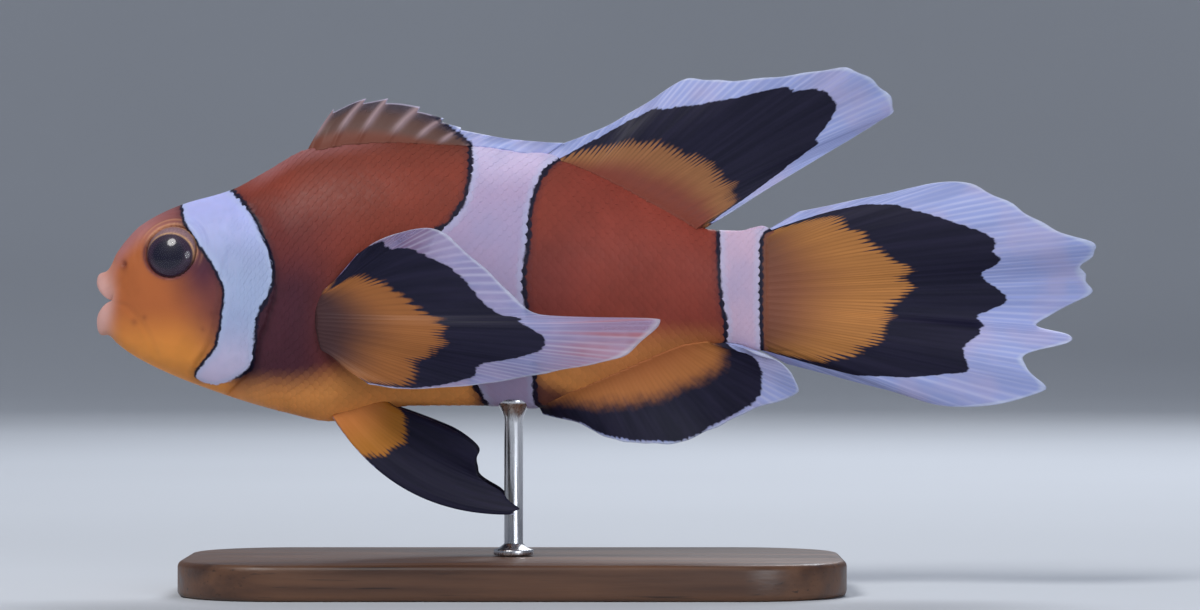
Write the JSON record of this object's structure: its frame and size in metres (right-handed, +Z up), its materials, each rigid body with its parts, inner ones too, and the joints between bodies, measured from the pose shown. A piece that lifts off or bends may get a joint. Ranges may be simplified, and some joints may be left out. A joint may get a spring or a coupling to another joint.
{
  "type": "longfin clownfish model",
  "caption": "Life-size still model of a longfin clownfish with flowing fins, held above a flat display base by a short rod.",
  "frame": {"origin": "middle of the stand base's underside, below the rod", "axes": "-X towards the snout and +X towards the tail, -Y towards the fish's left side, +Z up"},
  "size_m": [0.0852, 0.03, 0.0446],
  "materials": {
    "skin": "orange fish skin with three white bands edged in black, fine wet-looking scales",
    "fin": "thin rayed fin, orange at the root, then blue-black, with a translucent white margin",
    "eye": "clear wet cornea over a dark iris and pupil with a pale gold rim",
    "stand_base": "dark oiled wood, satin",
    "stand_rod": "brushed steel rod with a small cup"
  },
  "bodies": {
    "root": {"head": "skin", "lower_jaw": "skin", "gill_cover_left": "skin", "gill_cover_right": "skin", "trunk": "skin", "tail_peduncle": "skin", "eye_left": "eye", "eye_right": "eye", "dorsal_fin_spiny": "fin", "dorsal_fin_soft": "fin", "tail_fin": "fin", "anal_fin": "fin", "pectoral_fin_left": "fin", "pectoral_fin_right": "fin", "pelvic_fin_left": "fin", "pelvic_fin_right": "fin", "stand_base": "stand_base", "stand_rod": "stand_rod"}
  },
  "joints": []
}
